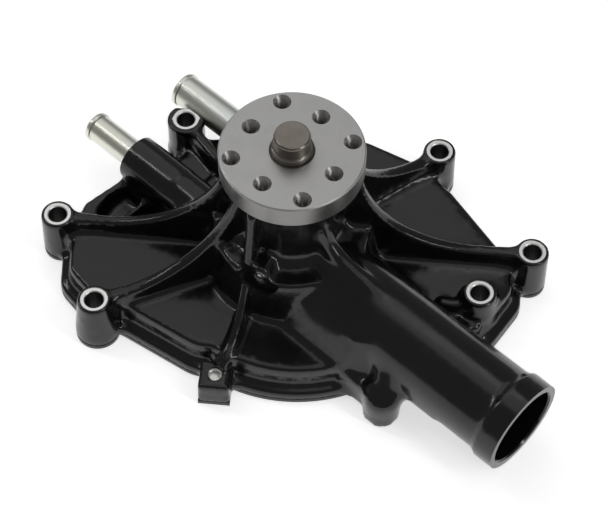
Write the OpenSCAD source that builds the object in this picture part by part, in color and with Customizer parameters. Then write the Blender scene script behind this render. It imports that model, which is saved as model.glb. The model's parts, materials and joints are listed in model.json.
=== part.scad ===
// Water pump for a V engine: die-cast housing, fan hub, shaft bearing,
// shaft seal, impeller, back plate and two hose tubes.
// The shaft axis is Z. The mounting face is z = 0. The hose neck runs along +X.

/* [Heights] */
// Height of the hub face above the mounting face
hub_face_z = 114; // [112:1:117]
// Height of the machined faces on the bolt posts
post_top_z = 31; // [30:0.5:32]
// Height of the flat decks between the ridges
deck_z = 22; // [21.5:0.5:23]
// Height of the chamber roof around the snout
chamber_top_z = 50; // [49.5:0.5:51]
// Height of the top of the snout
snout_top_z = 94; // [93:0.5:95]

/* [Housing] */
// Angle from the hose neck to the line through the two lobes
lobe_turn = 37; // [36:0.5:38]
// Thickness of the bolting flange, plate and gasket included
flange_z = 8; // [7.5:0.5:9]
// Outer diameter of the bolt posts
post_d = 18; // [17:0.5:19]
// Diameter of the bolt holes
bolt_hole_d = 10.2; // [9.5:0.1:10.6]
// Outer diameter of the snout
snout_d = 52; // [50:1:54]
// Thickness of the ridges
ridge_w = 7; // [6:0.5:8]
// Outer diameter of the chamber at deck height
chamber_d = 91; // [90:1:94]
// Thickness of the roof over the lobes
roof_t = 4; // [3.5:0.5:4.5]

/* [Hose neck and tubes] */
// Outer diameter of the hose neck
neck_d = 48.2; // [47.5:0.1:49]
// Diameter of the band at the neck's end
neck_band_d = 51.8; // [51:0.1:52.5]
// Bore of the hose neck
neck_bore_d = 43; // [41:0.5:44]
// Distance from the shaft axis to the neck's end
neck_end_x = 163.5; // [160:0.5:168]
// Height of the neck and tube axes
port_z = 30; // [29.5:0.5:30.5]
// Outer diameter of the heater tube
heater_d = 19.05; // [18.8:0.05:19.3]
// Outer diameter of the bypass tube
bypass_d = 15.9; // [15.6:0.1:16.2]

/* [Hub] */
// Outer diameter of the hub
hub_d = 75.4; // [74:0.2:77]
// Thickness of the hub
hub_t = 13.7; // [13:0.1:14.5]
// Circle of the four outer holes
outer_circle_d = 62.6; // [61.5:0.1:63.5]
// Circle of the four inner holes
inner_circle_d = 51.5; // [50.5:0.1:52.5]
// Diameter of the tapped holes in the hub
hub_hole_d = 7; // [6.6:0.1:7.4]
// Diameter of the shaft's pilot end
pilot_d = 19.05; // [18.8:0.05:19.2]

/* [Bearing] */
// Outer diameter of the bearing
bearing_d = 38.1; // [38:0.1:38.4]
// Pitch circle of the balls and the rollers
row_circle_d = 25.4; // [25.3:0.1:25.6]
// Diameter of the balls
ball_d = 6.35; // [6.2:0.05:6.4]
// Diameter of the rollers
roller_d = 5; // [4.8:0.1:5.2]
// Running clearance of the balls and rollers
run_gap = 0.05; // [0.03:0.01:0.08]

/* [Hidden] */
$fn = 72;
tiny = 0.01;

// Stack at the mounting face
plate_t = 2;
gasket_t = 0.8;
casting_z = plate_t + gasket_t;
// Bosses, webs and decks start this far inside the flange
inner_z = casting_z + 1.5;

// Bolt posts, in the lobe frame
posts = [[-129, 5], [-100.5, -47.5], [103, -22], [130, 7], [76, 69.5], [2, 93], [-68, 77]];
// Ridges: post number, aim point, start distance and radius of the curved top
ridges = [
    [0, [0, 5], 105, 70], [1, [0, 5], 98, 67], [3, [0, 5], 101, 65],
    [4, [0, 5], 98, 66], [5, [0, 0], 96, 64], [6, [0, 0], 80, 50]
];
ridge_top_z = 89;
// Machined post faces stand this far above the ridges
post_step = 0.6;
// The left back post is wider than the others and flat at the back
back_post_r = 10.6;
back_post_flat = 7.8;
// Corners of the raised deck in the lobe frame: x, y and corner radius
deck_corners = [
    [76, -46, 22], [107, -36, 8], [121, -12, 12], [119, 6, 8], [84, 50, 12],
    [62, 68, 8], [36, 79, 24], [4, 86, 16], [-30, 76, 20], [-66, 70, 8],
    [-90, 49, 12], [-118, 20, 8], [-121, -4, 8], [-119, -24, 12], [-104, -39, 12],
    [-85, -44, 20], [-42, -66, 20], [-20, -60, 10], [20, -60, 10]
];
front_r = 75.5;
front_x = 3;
flange_step = 6;
// Width of the flange around each post
boss_steps = [1, 3, 2.5, 0.8, 0.8, 1.5, 2.5];

// Small front boss with the visible screw tip, and the round foot at the neck
screw_boss = [-32.5, -78.5];
screw_boss_w = 14;
screw_boss_z = 17;
foot = [56, -82];
foot_d = 19;
// Plate screws, in the lobe frame
screws = [screw_boss, [-66, -48], [68, 57], [-30, 69], [94, -34]];
screw_d = 5;
screw_head_d = 9;
screw_top_z = 14;

// Chamber and water passages
chamber_r = chamber_d / 2;
chamber_wall = 6;
floor_z = deck_z - roof_t;
roof_z = chamber_top_z - roof_t;
eye_r = 30;
seal_boss_r = 23;
seal_boss_z = 33;
cavity_step = 4.5;
impeller_room_r = 38.5;
port_left = [-92, -14];
port_right = [92, 16];
port_r = 15;

// Hose neck and tubes
neck_y = -3;
heater_y = 36.8;
heater_z = 28.5;
heater_end_x = -119;
heater_boss_x = -64.7;
heater_boss_r = 14;
bypass_y = -16.6;
bypass_end_x = -135.6;
bypass_boss_x = -102.5;
bypass_boss_r = 13;
tube_grip = 26;
tube_gap = 0.5;
tube_wall = 1.4;
bead_h = 0.65;
bead_w = 3;
neck_band_w = 12;
foot_half_w = 35;
neck_root_x = 70;

// Shaft stack
hub_back_z = hub_face_z - hub_t;
shaft_top_z = hub_face_z + 12.5;
shaft_bottom_z = 5;
shaft_seat_r = 10.8;
shaft_tail_r = 8;
sleeve_z = 55;
sleeve_l = 38;
sleeve_top_z = sleeve_z + sleeve_l;
race_r = 10.2;
row_r = row_circle_d / 2;
sleeve_bore_r = row_r + 2.5;
ball_z = 84;
roller_z = 66;
roller_l = 10;
row_count = 9;
cage_t = 1.4;
bearing_seal_t = 2;
weep_z = 46;
weep_r = 15.5;
seal_bore_r = 18.2;
seal_face_z = 27.5;
plug_turn = -109.5;
plug_z = 52;
plug_r = 2.8;
plug_out = 39.5;

// Impeller
disc_z = 4.5;
disc_t = 3;
impeller_r = 36;
vane_top_z = 16.6;
impeller_hub_r = 18;
impeller_hub_z = 26;
vane_count = 7;

function unit(v) = v / norm(v);
function flat(p) = [p.x, p.y];

// Points of the arc that rounds corner b between neighbours a and c
function corner_arc(a, b, c, r) =
    let (
        u = unit(a - b),
        w = unit(c - b),
        half = acos(u * w) / 2,
        centre = b + unit(u + w) * r / sin(half),
        turn = sign(u.x * w.y - u.y * w.x),
        mid = atan2(-(u + w).y, -(u + w).x),
        sweep = 90 - half,
        steps = max(2, ceil(sweep / 7))
    )
    [for (i = [-steps : steps]) centre
        + r * [cos(mid - turn * sweep * i / steps), sin(mid - turn * sweep * i / steps)]];

// Corner b moved outwards by d from an anticlockwise outline
function pushed(a, b, c, d) =
    let (u = unit(b - a), w = unit(c - b), n = unit([u.y, -u.x] + [w.y, -w.x]))
    b + n * d / (n * [u.y, -u.x]);

// Rounded outline through corners that each carry their own radius, grown by d
function rounded(corners, d) =
    let (
        n = len(corners),
        moved = [for (i = [0 : n - 1])
            pushed(flat(corners[(i + n - 1) % n]), flat(corners[i]), flat(corners[(i + 1) % n]), d)]
    )
    [for (i = [0 : n - 1])
        each corner_arc(moved[(i + n - 1) % n], moved[i], moved[(i + 1) % n], corners[i][2] + d / 2)];

// Everything that belongs to the two lobes is drawn in their own frame
module lobe_frame() {
    rotate([0, 0, lobe_turn]) children();
}

// Cylinder along X from x1 to x2
module bar_x(r, x1, x2, y, z) {
    translate([x1, y, z]) rotate([0, 90, 0]) cylinder(r = r, h = x2 - x1);
}

// Flat ring
module ring(r1, r2, z1, z2, sides = 72) {
    translate([0, 0, z1]) difference() {
        cylinder(r = r2, h = z2 - z1, $fn = sides);
        translate([0, 0, -1]) cylinder(r = r1, h = z2 - z1 + 2, $fn = sides);
    }
}

module deck_outline(d) {
    polygon(rounded(deck_corners, d));
    translate([front_x, 0]) circle(r = front_r + d);
}

module flange_outline() {
    deck_outline(flange_step);
    for (i = [0 : len(posts) - 1]) translate(posts[i]) circle(r = post_d / 2 + boss_steps[i]);
    translate(screw_boss) square(screw_boss_w + 3, center = true);
}

module bolt_holes_2d() {
    for (p = posts) translate(p) circle(d = bolt_hole_d);
}

// Water space under the decks, with the bosses left standing
module cavity_outline() {
    difference() {
        deck_outline(-cavity_step);
        for (p = posts) translate(p) circle(r = post_d / 2 + 1);
        for (p = screws) translate(p) circle(r = 6.5);
        rotate([0, 0, -lobe_turn]) translate([impeller_room_r + 1, neck_y - 18]) square([60, 36]);
        back_pocket_outline(4);
    }
    circle(r = impeller_room_r);
}

// Recess between the left ridge and the bypass boss
module back_pocket_outline(d) {
    polygon(rounded([
        [-108, 11, 3], [-66, 11, 3], [-96.5, 34.5, 3], [-104, 27, 4], [-109, 18, 4]
    ], d));
}

// Thin rib across that recess
module pocket_rib() {
    rib_w = 2.6;
    rib_top_z = deck_z - 2;
    translate([-98.5, 9, 10]) rotate([0, 0, 50]) translate([0, -rib_w / 2, 0])
        cube([30, rib_w, rib_top_z - 10]);
}

// One ridge with a concave curved top from a post up to the snout
module ridge(post, aim, start, r) {
    run = norm(post - aim);
    low = post_top_z - post_step;
    translate([aim.x, aim.y, 0])
    rotate([90, 0, atan2(post.y - aim.y, post.x - aim.x)])
    translate([0, 0, -ridge_w / 2])
    linear_extrude(ridge_w) difference() {
        translate([5, deck_z - 2]) square([run - 5, ridge_top_z - deck_z + 2]);
        translate([start, low + r]) circle(r = r, $fn = 144);
        translate([start, low]) square([run, 100]);
    }
}

// Slightly bowed rib from the snout down to the front edge
module front_rib() {
    rib_w = 5.2;
    bow_r = 210;
    lean = 10;
    halfway = [-21, -44];
    middle = halfway + bow_r * [-cos(lean), sin(lean)];
    intersection() {
        translate([middle.x, middle.y, deck_z - 2])
            ring(bow_r - rib_w / 2, bow_r + rib_w / 2, 0, 70, 288);
        rotate([90, 0, 90]) translate([0, 0, -40]) linear_extrude(40)
            polygon([
                [-10, deck_z - 1.5], [-10, 88], [-26, 88], [-30, 72], [-35, 60], [-40, 51],
                [-47, 41], [-55, 32.5], [-64, 26.5], [-74, 23], [-76, deck_z - 1.5]
            ]);
    }
}

// Ridge on top of the neck, running out where the neck leaves the chamber
module neck_ridge() {
    ridge_t = 6;
    translate([0, neck_y + ridge_t / 2, 0]) rotate([90, 0, 0]) linear_extrude(ridge_t)
    polygon([
        [18, port_z], [18, 84], [25, 80], [27.5, 71], [31, 64], [36, 59.5], [43, 57],
        [54, 55.4], [68, 54], [68, port_z]
    ]);
}

// Concave fillet ring between the chamber roof and the snout
module snout_fillet() {
    r = 9;
    rotate_extrude() difference() {
        translate([snout_d / 2 - 1, chamber_top_z - 1]) square([r + 1, r + 1]);
        translate([snout_d / 2 + r, chamber_top_z + r]) circle(r = r);
    }
}

// Tapered block that carries the neck down to the deck
module neck_foot() {
    translate([0, neck_y, 0]) rotate([90, 0, 90]) linear_extrude(neck_root_x)
    polygon([
        [-foot_half_w, inner_z], [foot_half_w, inner_z], [foot_half_w, flange_z + 1],
        [25, port_z + 6], [19, port_z + 15], [-19, port_z + 15], [-26, port_z + 9],
        [-30, port_z + 2], [-foot_half_w, deck_z + 1]
    ]);
    translate([neck_root_x - 3, neck_y - 10, inner_z])
        cylinder(r1 = 27, r2 = 15, h = port_z + 12 - inner_z);
}

// Round foot in front of the neck and the web that joins it to the flange
module foot_web() {
    lobe_frame() {
        translate([foot.x, foot.y, 0]) cylinder(d = foot_d, h = port_z - 8);
        translate([0, 0, casting_z + 0.7]) linear_extrude(port_z - 11 - casting_z)
            polygon([[34, -72], [50, -84], [64, -80], [70, -50], [40, -40]]);
    }
}

module left_back_post() {
    at = posts[len(posts) - 1];
    translate([at.x, at.y, inner_z]) intersection() {
        cylinder(r = back_post_r, h = post_top_z - inner_z);
        translate([-20, back_post_flat - 40, -1]) cube([40, 40, post_top_z]);
    }
}

module housing_outside() {
    lobe_frame() {
        translate([0, 0, casting_z]) linear_extrude(flange_z - casting_z) flange_outline();
        translate([0, 0, inner_z]) linear_extrude(deck_z - inner_z) deck_outline(0);
        for (i = [0 : len(posts) - 2]) translate([posts[i].x, posts[i].y, inner_z])
            cylinder(d = post_d, h = post_top_z - inner_z);
        left_back_post();
        for (q = ridges) ridge(posts[q[0]], q[1], q[2], q[3]);
        front_rib();
        translate([screw_boss.x, screw_boss.y, (screw_boss_z + inner_z) / 2])
            cube([screw_boss_w, screw_boss_w, screw_boss_z - inner_z], center = true);
        rotate([0, 0, plug_turn]) bar_x(5, 20, plug_out, 0, plug_z);
    }
    translate([0, 0, deck_z - 2])
        cylinder(r1 = chamber_r + 1, r2 = chamber_r - 4, h = chamber_top_z - deck_z + 2);
    translate([0, 0, 40]) cylinder(d = snout_d, h = snout_top_z - 40);
    snout_fillet();
    neck_foot();
    neck_ridge();
    foot_web();
    bar_x(neck_d / 2, 10, neck_end_x - 1, neck_y, port_z);
    bar_x(neck_band_d / 2, neck_end_x - neck_band_w, neck_end_x, neck_y, port_z);
    bar_x(bypass_boss_r, bypass_boss_x, -20, bypass_y, port_z);
    bar_x(heater_boss_r, heater_boss_x, -10, heater_y, heater_z);
    translate([bypass_boss_x + 6, bypass_y - 5, inner_z]) cube([60, 10, port_z - inner_z]);
    translate([heater_boss_x + 6, heater_y - 5, inner_z]) cube([60, 10, heater_z - inner_z]);
}

// Inlet side: chamber, neck bore and tube bores
module inlet_space() {
    difference() {
        translate([0, 0, deck_z])
            cylinder(r = chamber_r - chamber_wall, h = roof_z - deck_z);
        translate([0, 0, seal_boss_z]) cylinder(r = seal_boss_r, h = 40);
    }
    translate([0, 0, floor_z - 1]) cylinder(r = eye_r, h = roof_t + 2);
    bar_x(neck_bore_d / 2, chamber_r - 3, neck_end_x + 1, neck_y, port_z);
    intersection() {
        bar_x(neck_bore_d / 2, seal_boss_r + 6, chamber_r, neck_y, port_z);
        translate([0, -30, deck_z]) cube([60, 60, roof_z - deck_z]);
    }
    bar_x(bypass_d / 2, bypass_boss_x - 1, bypass_boss_x + tube_grip, bypass_y, port_z);
    bar_x(bypass_d / 2 - 1.5, bypass_boss_x, -31, bypass_y, port_z);
    bar_x(heater_d / 2, heater_boss_x - 1, heater_boss_x + tube_grip, heater_y, heater_z);
    bar_x(heater_d / 2 - 1.5, heater_boss_x, -4, heater_y, heater_z);
    tube_bed();
}

// Clearance groove that keeps the heater tube off the deck and the left back post
module tube_bed() {
    bar_x(heater_d / 2 + tube_gap, heater_end_x - 1, heater_boss_x + 0.5, heater_y, heater_z);
}

// Metal left standing round the heater tube above the water space
module heater_wall() {
    bar_x(heater_d / 2 + 3, heater_boss_x - 16, heater_boss_x + tube_grip + 2, heater_y, heater_z);
}

// Bores for the bearing, the weep space and the shaft seal
module shaft_space() {
    translate([0, 0, sleeve_z]) cylinder(d = bearing_d, h = 60);
    translate([0, 0, weep_z - 1]) cylinder(r = weep_r, h = sleeve_z - weep_z + 2);
    translate([0, 0, seal_boss_z - 1]) cylinder(r = seal_bore_r, h = weep_z - seal_boss_z + 1);
    lobe_frame() rotate([0, 0, plug_turn]) bar_x(plug_r, 10, plug_out + 1, 0, plug_z);
}

module housing() {
    color([0.06, 0.06, 0.065]) difference() {
        housing_outside();
        inlet_space();
        shaft_space();
        lobe_frame() {
            difference() {
                translate([0, 0, casting_z - 1])
                    linear_extrude(floor_z - casting_z + 1) cavity_outline();
                rotate([0, 0, -lobe_turn]) heater_wall();
            }
            translate([0, 0, -1]) linear_extrude(post_top_z + 2) bolt_holes_2d();
            difference() {
                translate([0, 0, 11]) linear_extrude(deck_z - 9) back_pocket_outline(0);
                pocket_rib();
            }
            for (p = screws) translate([p.x, p.y, 0]) cylinder(d = screw_d, h = screw_top_z + 1);
            translate([screw_boss.x, screw_boss.y, 0]) cylinder(d = screw_d, h = 40);
        }
    }
}

module back_plate() {
    color([0.62, 0.62, 0.6]) lobe_frame() difference() {
        linear_extrude(plate_t) difference() {
            flange_outline();
            bolt_holes_2d();
            translate(port_left) circle(r = port_r);
            translate(port_right) circle(r = port_r);
        }
        for (p = screws) translate([p.x, p.y, 0]) screw_shape(tiny);
    }
}

module plate_gasket() {
    color([0.16, 0.2, 0.26]) lobe_frame()
    translate([0, 0, plate_t]) linear_extrude(gasket_t) difference() {
        flange_outline();
        bolt_holes_2d();
        cavity_outline();
        for (p = screws) translate(p) circle(d = screw_d);
    }
}

// Countersunk screw whose head is flush with the plate's back
module screw_shape(extra) {
    translate([0, 0, -extra]) cylinder(d1 = screw_head_d, d2 = screw_d, h = plate_t + extra);
    cylinder(d = screw_d, h = screw_top_z);
}

module plate_screws() {
    color([0.7, 0.7, 0.68]) lobe_frame()
    for (p = screws) translate([p.x, p.y, 0]) difference() {
        screw_shape(0);
        translate([0, 0, -1]) cylinder(d = 2.8, h = 2.4, $fn = 6);
    }
}

module gallery_plug() {
    color([0.8, 0.79, 0.76]) lobe_frame() rotate([0, 0, plug_turn])
        bar_x(plug_r, plug_out - 6, plug_out - 0.2, 0, plug_z);
}

// Steel hose tube along -X with a bead at its open end
module hose_tube(d, end_x, boss_x, y, z) {
    difference() {
        union() {
            bar_x(d / 2, end_x, boss_x + tube_grip - 0.2, y, z);
            bar_x(d / 2 + bead_h, end_x, end_x + bead_w, y, z);
        }
        bar_x(d / 2 - tube_wall, end_x - 1, boss_x + tube_grip + 1, y, z);
    }
}

module heater_tube() {
    color([0.78, 0.78, 0.7]) hose_tube(heater_d, heater_end_x, heater_boss_x, heater_y, heater_z);
}

module bypass_tube() {
    color([0.78, 0.78, 0.7]) hose_tube(bypass_d, bypass_end_x, bypass_boss_x, bypass_y, port_z);
}

module hub_holes(circle_d, turn) {
    for (i = [0 : 3]) rotate([0, 0, turn + 90 * i]) translate([circle_d / 2, 0, hub_back_z]) {
        translate([0, 0, -1]) cylinder(d = hub_hole_d, h = hub_t + 2);
        translate([0, 0, hub_t - 1.2]) cylinder(d1 = hub_hole_d, d2 = hub_hole_d + 2.6, h = 1.3);
    }
}

module hub_flange() {
    color([0.68, 0.67, 0.66]) difference() {
        rotate_extrude($fn = 120) polygon([
            [shaft_seat_r, hub_back_z - 3], [17, hub_back_z - 3], [17, hub_back_z],
            [hub_d / 2 - 0.8, hub_back_z], [hub_d / 2, hub_back_z + 0.8],
            [hub_d / 2, hub_face_z - 0.8], [hub_d / 2 - 0.8, hub_face_z],
            [shaft_seat_r + 0.6, hub_face_z], [shaft_seat_r, hub_face_z - 0.6]
        ]);
        hub_holes(outer_circle_d, 52.3);
        hub_holes(inner_circle_d, 7.6);
    }
}

module bearing_shaft() {
    pilot_r = pilot_d / 2;
    color([0.44, 0.41, 0.38]) difference() {
        rotate_extrude($fn = 96) polygon([
            [0, shaft_bottom_z], [shaft_tail_r - 1, shaft_bottom_z], [shaft_tail_r, shaft_bottom_z + 1],
            [shaft_tail_r, sleeve_z - 1], [race_r, sleeve_z - 1], [race_r, sleeve_top_z],
            [shaft_seat_r, sleeve_top_z], [shaft_seat_r, hub_face_z + 1.5],
            [pilot_r, hub_face_z + 4.5], [pilot_r, shaft_top_z - 1.2],
            [pilot_r - 1, shaft_top_z], [0, shaft_top_z]
        ]);
        rotate_extrude() translate([row_r, ball_z]) circle(r = ball_d / 2 + run_gap);
    }
}

module bearing_sleeve() {
    color([0.6, 0.6, 0.6]) difference() {
        translate([0, 0, sleeve_z]) cylinder(d = bearing_d, h = sleeve_l);
        translate([0, 0, sleeve_z - 1]) cylinder(r = sleeve_bore_r + run_gap, h = sleeve_l + 2);
        rotate_extrude() translate([row_r, ball_z]) circle(r = ball_d / 2 + run_gap);
    }
}

module front_balls() {
    color([0.8, 0.8, 0.82]) for (i = [0 : row_count - 1])
        rotate([0, 0, i * 360 / row_count]) translate([row_r, 0, ball_z])
        sphere(d = ball_d, $fn = 32);
}

// Cage ring with one pocket for each ball or roller
module front_cage() {
    color([0.55, 0.42, 0.2]) difference() {
        ring(row_r - cage_t / 2, row_r + cage_t / 2, ball_z - 4.6, ball_z + 4.6);
        for (i = [0 : row_count - 1])
            rotate([0, 0, i * 360 / row_count]) translate([row_r, 0, ball_z])
            sphere(r = ball_d / 2 + run_gap, $fn = 32);
    }
}

module rear_rollers() {
    color([0.8, 0.8, 0.82]) for (i = [0 : row_count - 1])
        rotate([0, 0, i * 360 / row_count]) translate([row_r, 0, roller_z - roller_l / 2])
        cylinder(d = roller_d - 2 * run_gap, h = roller_l);
}

module rear_cage() {
    half = roller_l / 2;
    color([0.55, 0.42, 0.2]) difference() {
        ring(row_r - cage_t / 2, row_r + cage_t / 2, roller_z - half - 1.6, roller_z + half + 1.6);
        for (i = [0 : row_count - 1])
            rotate([0, 0, i * 360 / row_count]) translate([row_r, 0, roller_z - half - run_gap])
            cylinder(d = roller_d, h = roller_l + 2 * run_gap);
    }
}

module front_bearing_seal() {
    color([0.12, 0.12, 0.12])
        ring(race_r + 0.08, sleeve_bore_r + run_gap, sleeve_top_z - 0.6 - bearing_seal_t, sleeve_top_z - 0.6);
}

module rear_bearing_seal() {
    color([0.12, 0.12, 0.12])
        ring(race_r + 0.08, sleeve_bore_r + run_gap, sleeve_z + 0.6, sleeve_z + 0.6 + bearing_seal_t);
}

module slinger() {
    color([0.1, 0.1, 0.1]) union() {
        ring(shaft_tail_r, shaft_tail_r + 2, weep_z + 1.5, weep_z + 5);
        ring(shaft_tail_r, weep_r - 2.5, weep_z + 2.5, weep_z + 4);
    }
}

module seal_cup() {
    color([0.78, 0.62, 0.3]) {
        ring(seal_bore_r - 0.8, seal_bore_r, seal_boss_z, weep_z);
        ring(shaft_tail_r + 1.2, seal_bore_r, weep_z - 0.8, weep_z);
        ring(seal_bore_r - 0.8, seal_bore_r + 2, seal_boss_z - 0.8, seal_boss_z);
    }
}

module seal_bellows() {
    color([0.08, 0.08, 0.08]) {
        ring(shaft_tail_r + 1.2, shaft_tail_r + 2.6, seal_face_z + 4, weep_z - 0.8);
        ring(shaft_tail_r + 1.2, seal_bore_r - 0.9, weep_z - 2.3, weep_z - 0.8);
        ring(shaft_tail_r + 1.2, 15.5, seal_face_z + 4, seal_face_z + 5.5);
    }
}

// Round wire wound as a helix
module seal_spring() {
    wire_r = 0.75;
    coil_r = 13.4;
    turns = 4;
    steps = 20;
    sides = 8;
    low = seal_face_z + 5.5 + wire_r + 0.1;
    high = weep_z - 2.3 - wire_r - 0.1;
    rings = turns * steps;
    points = [for (k = [0 : rings], s = [0 : sides - 1])
        let (a = 360 * k / steps, b = 360 * s / sides, r = coil_r + wire_r * cos(b))
        [r * cos(a), r * sin(a), low + (high - low) * k / rings + wire_r * sin(b)]];
    sides_faces = [for (k = [0 : rings - 1], s = [0 : sides - 1])
        let (n = (s + 1) % sides)
        [k * sides + s, k * sides + n, (k + 1) * sides + n, (k + 1) * sides + s]];
    first = [for (s = [sides - 1 : -1 : 0]) s];
    last = [for (s = [0 : sides - 1]) rings * sides + s];
    color([0.72, 0.72, 0.74]) polyhedron(points, concat(sides_faces, [first], [last]));
}

module seal_ring() {
    color([0.15, 0.15, 0.16]) {
        ring(shaft_tail_r + 1.2, 15, seal_face_z + 1.5, seal_face_z + 4);
        ring(shaft_tail_r + 1.5, 13, seal_face_z, seal_face_z + 1.5);
    }
}

module seal_seat() {
    color([0.9, 0.88, 0.84])
        ring(shaft_tail_r + 0.6, 14.2, seal_face_z - 4, seal_face_z - 0.1);
}

module seat_boot() {
    color([0.08, 0.08, 0.08]) {
        ring(14.2, 15.8, seal_face_z - 5, seal_face_z - 0.8);
        ring(shaft_tail_r + 0.6, 15.8, seal_face_z - 5, seal_face_z - 4);
    }
}

module impeller() {
    color([0.35, 0.33, 0.31]) difference() {
        union() {
            translate([0, 0, disc_z]) cylinder(r = impeller_r, h = disc_t);
            translate([0, 0, disc_z]) cylinder(r = impeller_hub_r, h = impeller_hub_z - disc_z);
            for (i = [0 : vane_count - 1]) rotate([0, 0, i * 360 / vane_count])
                translate([12, 0, disc_z]) rotate([0, 0, -24])
                translate([0, -1.5, 0]) cube([23.5, 3, vane_top_z - disc_z]);
        }
        translate([0, 0, disc_z - 1]) cylinder(r = shaft_tail_r, h = 40);
        translate([0, 0, seal_face_z - 5]) cylinder(r = 15.8, h = 20);
    }
}

housing();
back_plate();
plate_gasket();
plate_screws();
gallery_plug();
heater_tube();
bypass_tube();
hub_flange();
bearing_shaft();
bearing_sleeve();
front_balls();
front_cage();
rear_rollers();
rear_cage();
front_bearing_seal();
rear_bearing_seal();
slinger();
seal_cup();
seal_bellows();
seal_spring();
seal_ring();
seal_seat();
seat_boot();
impeller();
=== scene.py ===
import bpy
import bmesh
import json
import math
import numpy as np
import openvdb as vdb
from collections import namedtuple
from mathutils import Matrix, Vector

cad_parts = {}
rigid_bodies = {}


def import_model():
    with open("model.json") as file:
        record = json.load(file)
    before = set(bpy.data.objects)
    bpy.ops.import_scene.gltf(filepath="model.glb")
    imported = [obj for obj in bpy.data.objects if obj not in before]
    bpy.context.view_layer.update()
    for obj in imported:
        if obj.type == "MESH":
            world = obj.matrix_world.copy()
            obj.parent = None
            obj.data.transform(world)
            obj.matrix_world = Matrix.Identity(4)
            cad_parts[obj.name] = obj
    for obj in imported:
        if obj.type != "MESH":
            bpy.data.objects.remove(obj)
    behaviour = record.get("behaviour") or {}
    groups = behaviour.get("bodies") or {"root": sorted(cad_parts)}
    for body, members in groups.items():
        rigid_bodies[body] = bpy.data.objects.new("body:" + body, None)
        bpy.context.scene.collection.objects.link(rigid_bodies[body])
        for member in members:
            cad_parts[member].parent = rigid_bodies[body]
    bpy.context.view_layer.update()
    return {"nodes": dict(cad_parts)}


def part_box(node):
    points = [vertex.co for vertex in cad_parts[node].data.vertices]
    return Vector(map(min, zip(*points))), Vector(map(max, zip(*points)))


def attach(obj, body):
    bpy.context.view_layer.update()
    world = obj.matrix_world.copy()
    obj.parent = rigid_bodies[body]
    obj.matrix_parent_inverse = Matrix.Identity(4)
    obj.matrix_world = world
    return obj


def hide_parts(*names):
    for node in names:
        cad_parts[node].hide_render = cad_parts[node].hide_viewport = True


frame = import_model()
nodes = frame["nodes"]

# Lengths are millimetres, apart from materials, lights and the camera, which are in metres.
# Row frame: origin on the shaft axis at the mounting face, +Z to the hub, +X along the hose neck.
# Lobe frame: the row frame turned back by LOBE_TURN, in which the posts are laid out.
MM = 0.001
LOBE_TURN = 37
TURN = math.radians(LOBE_TURN)

Socket = namedtuple("Socket", "x y z r")

HUB_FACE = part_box("hub_flange")[1].z
HUB_THICKNESS = 0.0137
POSTS = [(-129, 5), (-100.5, -47.5), (103, -22), (130, 7), (76, 69.5), (2, 93), (-68, 77)]
RIGHT_FRONT, LEFT_BACK = 2, 6
POST_TOP = 31.0
POST_R = 9.0
NECK_Y = -3.0
NECK_END = 163.5
PORT_Z = 30.0
BYPASS = Socket(-102.5, -16.6, PORT_Z, 13.0)
HEATER = Socket(-64.7, 36.8, 28.5, 14.0)
SCREW_BOSS = (-32.5, -78.5)
FOOT = (56.0, -82.0)
FOOT_R = 9.5
PLUG_TURN = math.radians(LOBE_TURN - 109.5)
PLUG_Z = 52


def row(x, y):
    """A lobe-frame point in the row frame."""
    return (x * math.cos(TURN) - y * math.sin(TURN), x * math.sin(TURN) + y * math.cos(TURN))


# ------------------------------------------------------------------ materials

def shader(m):
    return m.node_tree.nodes["Principled BSDF"]


def material(name, base, metallic=0.0, roughness=0.4):
    m = bpy.data.materials.new(name)
    m.use_nodes = True
    b = shader(m)
    b.inputs["Base Color"].default_value = (*base, 1)
    b.inputs["Metallic"].default_value = metallic
    b.inputs["Roughness"].default_value = roughness
    b.inputs["IOR"].default_value = 1.5
    return m


def add(m, kind, **values):
    """A new node, with its sockets or its properties set."""
    n = m.node_tree.nodes.new(kind)
    for k, v in values.items():
        if k in n.inputs:
            n.inputs[k].default_value = v
        else:
            setattr(n, k, v)
    return n


def link(m, a, out, b, into):
    m.node_tree.links.new(a.outputs[out], b.inputs[into])


def noise(m, scale, detail=3.0, rough=0.5, stretch=None):
    """Noise over the object's own coordinates, in cycles per metre."""
    co = add(m, "ShaderNodeTexCoord")
    n = add(m, "ShaderNodeTexNoise", Scale=scale, Detail=detail, Roughness=rough)
    if stretch:
        mp = add(m, "ShaderNodeMapping", Scale=stretch)
        link(m, co, "Object", mp, "Vector")
        link(m, mp, "Vector", n, "Vector")
    else:
        link(m, co, "Object", n, "Vector")
    return n


def ramp(m, source, low, high, a, b):
    """Noise between low and high, spread from a to b."""
    r = add(m, "ShaderNodeMapRange")
    r.inputs["From Min"].default_value = low
    r.inputs["From Max"].default_value = high
    r.inputs["To Min"].default_value = a
    r.inputs["To Max"].default_value = b
    link(m, source, "Fac", r, "Value")
    return r


def bump(m, layers):
    """Bump from (noise, strength, distance in metres), one after the other."""
    last = None
    for source, strength, distance in layers:
        b = add(m, "ShaderNodeBump", Strength=strength, Distance=distance)
        link(m, source, "Fac", b, "Height")
        if last:
            link(m, last, "Normal", b, "Normal")
        last = b
    link(m, last, "Normal", shader(m), "Normal")


def vary_roughness(m, source, a, b):
    link(m, ramp(m, source, 0.3, 0.7, a, b), "Result", shader(m), "Roughness")


def mix_colour(m, source, a, b, high=0.7):
    """Base colour between a and b. A colour mix node's sockets are told apart by number."""
    factor, first, second, result = 0, 6, 7, 2
    r = ramp(m, source, 0.35, high, 0, 1)
    mix = add(m, "ShaderNodeMix", data_type="RGBA")
    mix.inputs[first].default_value = (*a, 1)
    mix.inputs[second].default_value = (*b, 1)
    link(m, r, "Result", mix, factor)
    link(m, mix, result, shader(m), "Base Color")


def darker(colour, share):
    return tuple(c * share for c in colour)


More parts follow.
